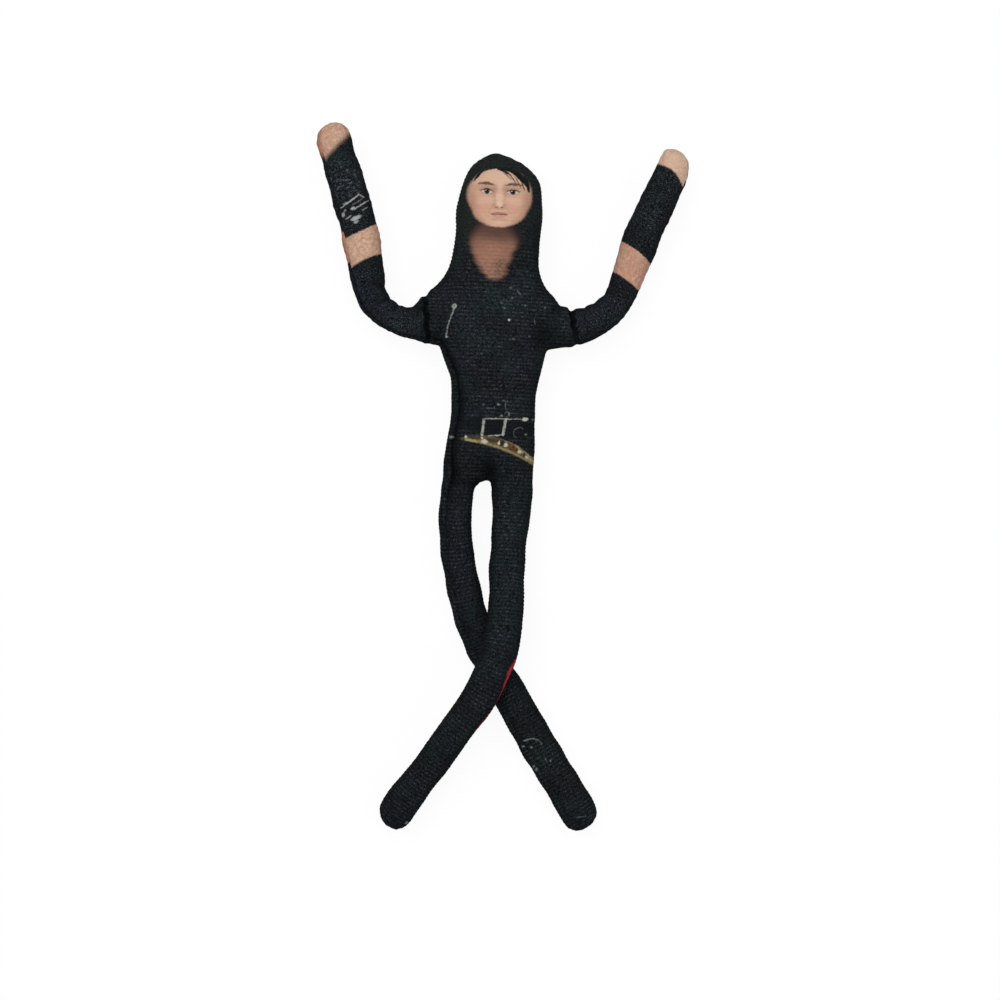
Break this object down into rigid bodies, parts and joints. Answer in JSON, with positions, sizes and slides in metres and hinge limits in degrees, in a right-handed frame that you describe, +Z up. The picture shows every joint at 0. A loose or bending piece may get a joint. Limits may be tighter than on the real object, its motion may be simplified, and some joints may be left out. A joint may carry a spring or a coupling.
{
  "type": "bendable plush doll",
  "caption": "Slim bendable plush doll with a wire armature: it holds any pose of its neck, waist, shoulders, elbows, hips and knees.",
  "frame": {"origin": "centre of the doll's box on the surface that it lies on", "axes": "+Y toward the head, +Z up out of the face, +X toward the doll's own left hand"},
  "size_m": [0.1387, 0.2617, 0.0256],
  "materials": {
    "printed_knit": "matte brushed polyester knit with a dye print",
    "polyester_fibre": "loose white fibre",
    "armature_wire": "annealed wire"
  },
  "bodies": {
    "chest": {"chest_front_panel": "printed_knit", "chest_back_panel": "printed_knit", "chest_filling": "polyester_fibre", "shoulder_cross_wire": "armature_wire", "spine_wire": "armature_wire"},
    "head": {"head_front_panel": "printed_knit", "head_back_panel": "printed_knit", "head_filling": "polyester_fibre", "head_wire_loop": "armature_wire", "neck_bend": "printed_knit"},
    "pelvis": {"pelvis_front_panel": "printed_knit", "pelvis_back_panel": "printed_knit", "pelvis_filling": "polyester_fibre", "pelvis_wire_fork": "armature_wire", "waist_bend": "printed_knit"},
    "left_shoulder": {"left_shoulder_sleeve": "printed_knit", "left_shoulder_filling": "polyester_fibre", "left_shoulder_wire": "armature_wire", "left_shoulder_lift_bend": "printed_knit"},
    "left_upper_arm": {"left_upper_arm_sleeve": "printed_knit", "left_upper_arm_filling": "polyester_fibre", "left_upper_arm_wire": "armature_wire", "left_shoulder_swing_bend": "printed_knit"},
    "left_forearm": {"left_forearm_sleeve": "printed_knit", "left_forearm_filling": "polyester_fibre", "left_forearm_wire": "armature_wire", "left_elbow_bend": "printed_knit"},
    "right_shoulder": {"right_shoulder_sleeve": "printed_knit", "right_shoulder_filling": "polyester_fibre", "right_shoulder_wire": "armature_wire", "right_shoulder_lift_bend": "printed_knit"},
    "right_upper_arm": {"right_upper_arm_sleeve": "printed_knit", "right_upper_arm_filling": "polyester_fibre", "right_upper_arm_wire": "armature_wire", "right_shoulder_swing_bend": "printed_knit"},
    "right_forearm": {"right_forearm_sleeve": "printed_knit", "right_forearm_filling": "polyester_fibre", "right_forearm_wire": "armature_wire", "right_elbow_bend": "printed_knit"},
    "left_thigh": {"left_thigh_front_panel": "printed_knit", "left_thigh_back_panel": "printed_knit", "left_thigh_filling": "polyester_fibre", "left_thigh_wire": "armature_wire", "left_hip_bend": "printed_knit"},
    "left_shin": {"left_shin_front_panel": "printed_knit", "left_shin_back_panel": "printed_knit", "left_shin_filling": "polyester_fibre", "left_shin_wire": "armature_wire", "left_knee_bend": "printed_knit"},
    "right_thigh": {"right_thigh_front_panel": "printed_knit", "right_thigh_back_panel": "printed_knit", "right_thigh_filling": "polyester_fibre", "right_thigh_wire": "armature_wire", "right_hip_bend": "printed_knit"},
    "right_shin": {"right_shin_front_panel": "printed_knit", "right_shin_back_panel": "printed_knit", "right_shin_filling": "polyester_fibre", "right_shin_wire": "armature_wire", "right_knee_bend": "printed_knit"}
  },
  "joints": [
    {"name": "neck_nod", "type": "hinge", "parent": "chest", "child": "head", "pos_m": [-0.0018, 0.08142, 0.0115], "axis": [0.9991, -0.0426, 0], "range_deg": [-30, 45], "deforming": ["neck_bend"]},
    {"name": "waist_bend", "type": "hinge", "parent": "chest", "child": "pelvis", "pos_m": [-0.00406, 0.02847, 0.0115], "axis": [-0.9991, 0.0426, 0], "range_deg": [-30, 60], "deforming": ["waist_bend"]},
    {"name": "left_shoulder_lift", "type": "hinge", "parent": "chest", "child": "left_shoulder", "pos_m": [0.03182, 0.05609, 0.0115], "axis": [0.2705, -0.9627, 0], "range_deg": [-60, 60], "deforming": ["left_shoulder_lift_bend"]},
    {"name": "left_shoulder_swing", "type": "hinge", "parent": "left_shoulder", "child": "left_upper_arm", "pos_m": [0.04249, 0.06345, 0.0115], "axis": [0, 0, 1], "range_deg": [-65, 35], "deforming": ["left_shoulder_swing_bend"]},
    {"name": "left_elbow", "type": "hinge", "parent": "left_upper_arm", "child": "left_forearm", "pos_m": [0.04976, 0.08008, 0.0115], "axis": [0, 0, -1], "range_deg": [-55, 90], "deforming": ["left_elbow_bend"]},
    {"name": "right_shoulder_lift", "type": "hinge", "parent": "chest", "child": "right_shoulder", "pos_m": [-0.03124, 0.05668, 0.0115], "axis": [-0.0865, 0.9963, 0], "range_deg": [-60, 60], "deforming": ["right_shoulder_lift_bend"]},
    {"name": "right_shoulder_swing", "type": "hinge", "parent": "right_shoulder", "child": "right_upper_arm", "pos_m": [-0.04362, 0.05988, 0.0115], "axis": [0, 0, -1], "range_deg": [-65, 30], "deforming": ["right_shoulder_swing_bend"]},
    {"name": "right_elbow", "type": "hinge", "parent": "right_upper_arm", "child": "right_forearm", "pos_m": [-0.05273, 0.08504, 0.0115], "axis": [0, 0, 1], "range_deg": [-50, 90], "deforming": ["right_elbow_bend"]},
    {"name": "left_hip", "type": "hinge", "parent": "pelvis", "child": "left_thigh", "pos_m": [0.00327, -0.01188, 0.01156], "axis": [-0.9981, 0.0617, 0], "range_deg": [0, 85], "deforming": ["left_hip_bend"]},
    {"name": "left_knee", "type": "hinge", "parent": "left_thigh", "child": "left_shin", "pos_m": [-0.00135, -0.06611, 0.01907], "axis": [0.9646, -0.2636, 0], "range_deg": [-100, 0], "deforming": ["left_knee_bend"]},
    {"name": "right_hip", "type": "hinge", "parent": "pelvis", "child": "right_thigh", "pos_m": [-0.01729, -0.011, 0.01146], "axis": [-0.9994, 0.0356, 0], "range_deg": [-85, 0], "deforming": ["right_hip_bend"]},
    {"name": "right_knee", "type": "hinge", "parent": "right_thigh", "child": "right_shin", "pos_m": [-0.01158, -0.05387, 0.00771], "axis": [0.9489, 0.3154, 0], "range_deg": [0, 100], "deforming": ["right_knee_bend"]}
  ]
}
